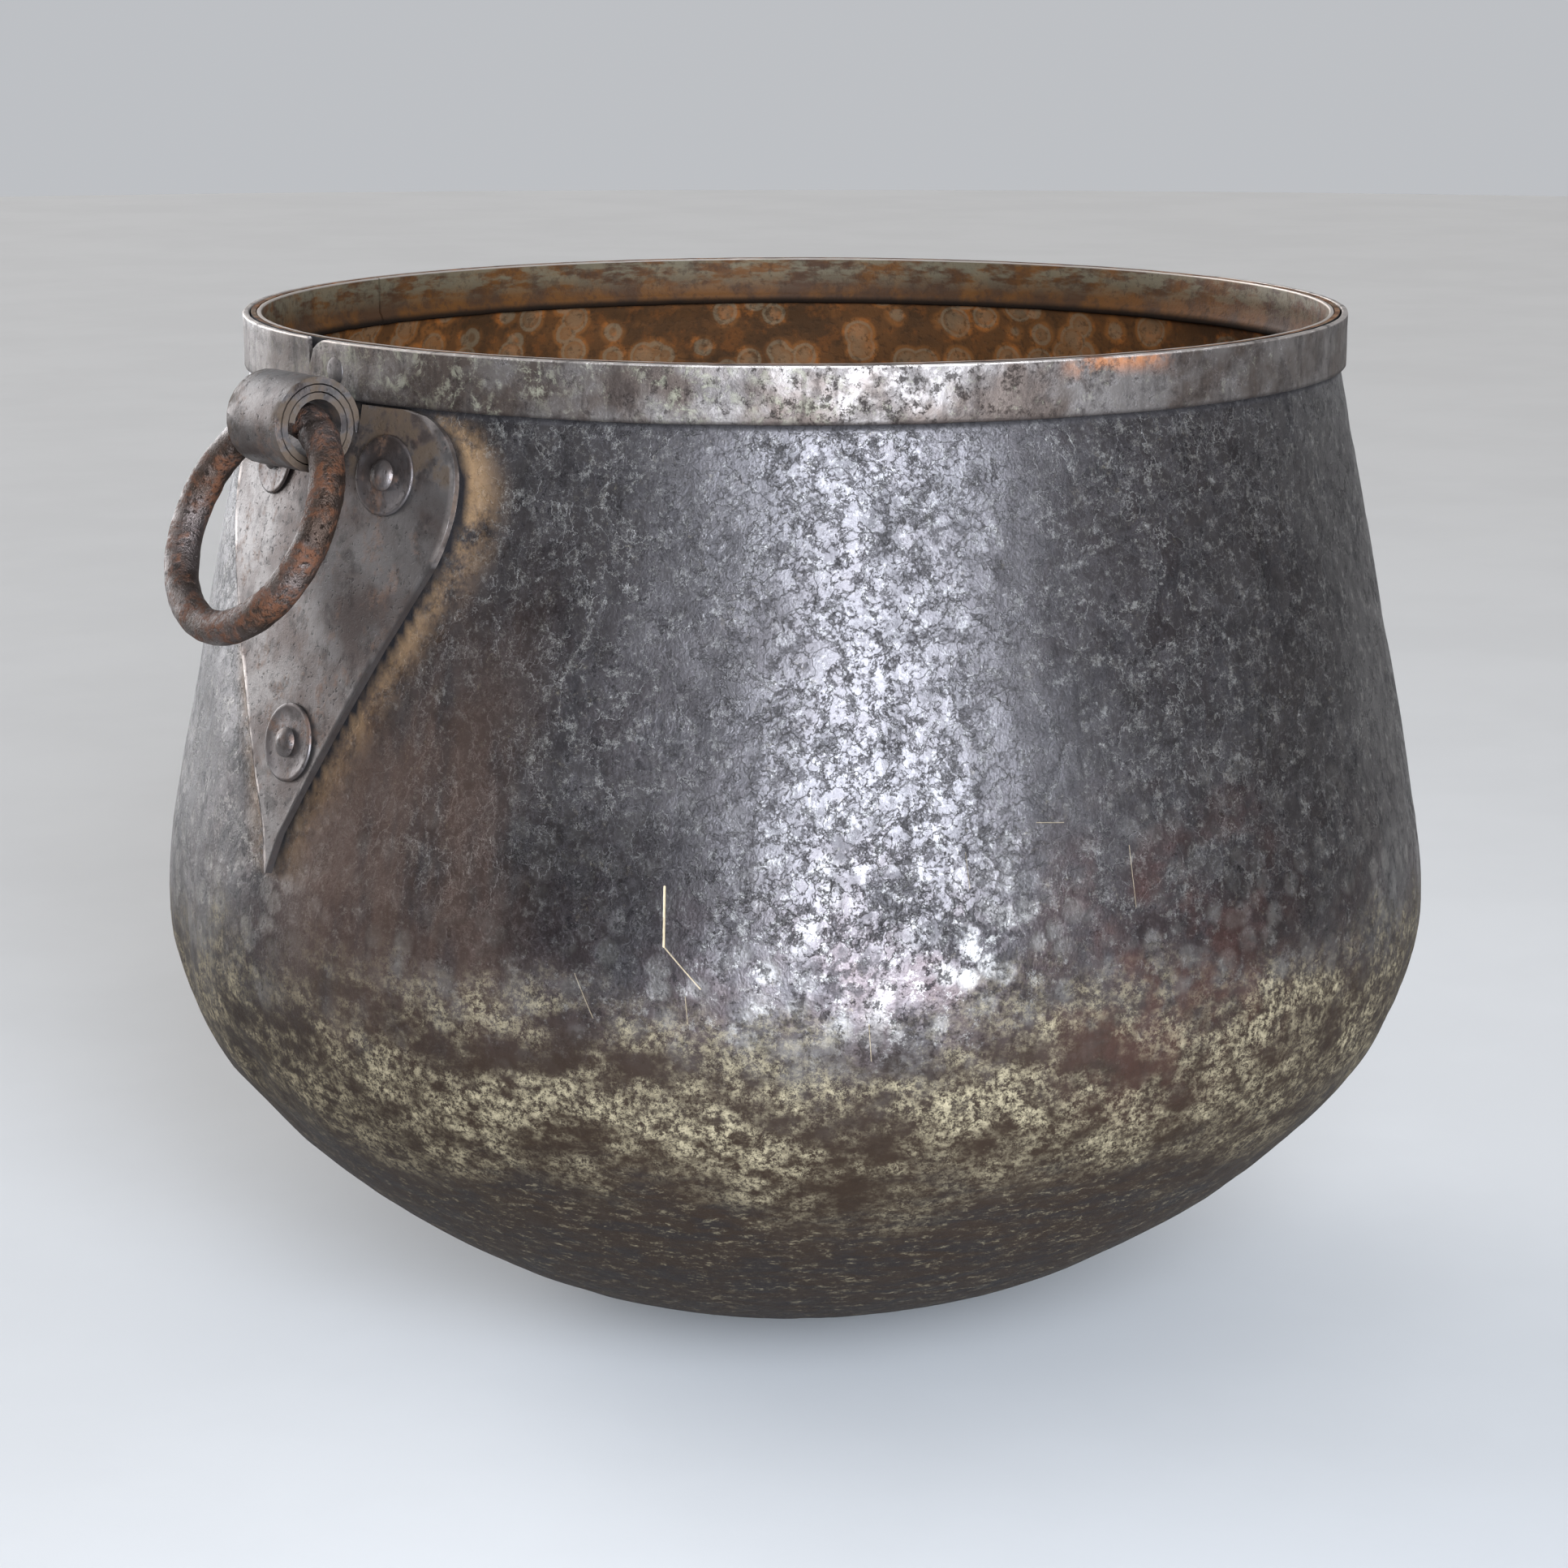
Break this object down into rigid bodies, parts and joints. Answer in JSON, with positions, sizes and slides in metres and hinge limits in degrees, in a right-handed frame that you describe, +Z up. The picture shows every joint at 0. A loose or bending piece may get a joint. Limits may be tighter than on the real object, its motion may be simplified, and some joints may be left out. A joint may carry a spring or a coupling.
{
  "type": "hammered copper bowl",
  "caption": "Round-bottomed hammered cooking bowl with a banded rim, riveted shield-shaped handle plates and hinged ring handles.",
  "frame": {"origin": "centre of the foot, on the ground, on the bowl's own axis", "axes": "+Z up along the bowl's axis, +X towards the right handle, -Y the front"},
  "size_m": [0.5894, 0.538, 0.4272],
  "materials": {
    "bowl": "hammered copper under a dark brown-grey patina, satin",
    "rim_hoop": "same metal as the bowl, worn bright on the lip, spots of verdigris",
    "rim_lining": "orange-brown oxidised, matt",
    "handle_plate": "forged iron sheet, dark grey-brown, satin",
    "handle_ring": "forged iron bar, brown rust worn glossy on the bearing side",
    "rivets": "peened iron, dark grey-brown",
    "washers": "iron roves, dark grey-brown"
  },
  "bodies": {
    "bowl": {"bowl_shell": "bowl", "rim_hoop": "rim_hoop", "rim_lining": "rim_lining", "hoop_rivet": "rivets", "left_handle_plate": "handle_plate", "left_rivet_upper_a": "rivets", "left_washer_upper_a": "washers", "left_rivet_upper_b": "rivets", "left_washer_upper_b": "washers", "left_rivet_lower": "rivets", "left_washer_lower": "washers", "right_handle_plate": "handle_plate", "right_rivet_upper_a": "rivets", "right_washer_upper_a": "washers", "right_rivet_upper_b": "rivets", "right_washer_upper_b": "washers", "right_rivet_lower": "rivets", "right_washer_lower": "washers"},
    "left_ring": {"left_handle_ring": "handle_ring"},
    "right_ring": {"right_handle_ring": "handle_ring"}
  },
  "joints": [
    {"name": "left_ring_swing", "type": "hinge", "parent": "bowl", "child": "left_ring", "pos_m": [-0.24972, 0, 0.3977], "axis": [0, 1, 0], "range_deg": [-22, 180]},
    {"name": "right_ring_swing", "type": "hinge", "parent": "bowl", "child": "right_ring", "pos_m": [0.24972, 0, 0.3977], "axis": [0, -1, 0], "range_deg": [-22, 180]}
  ]
}
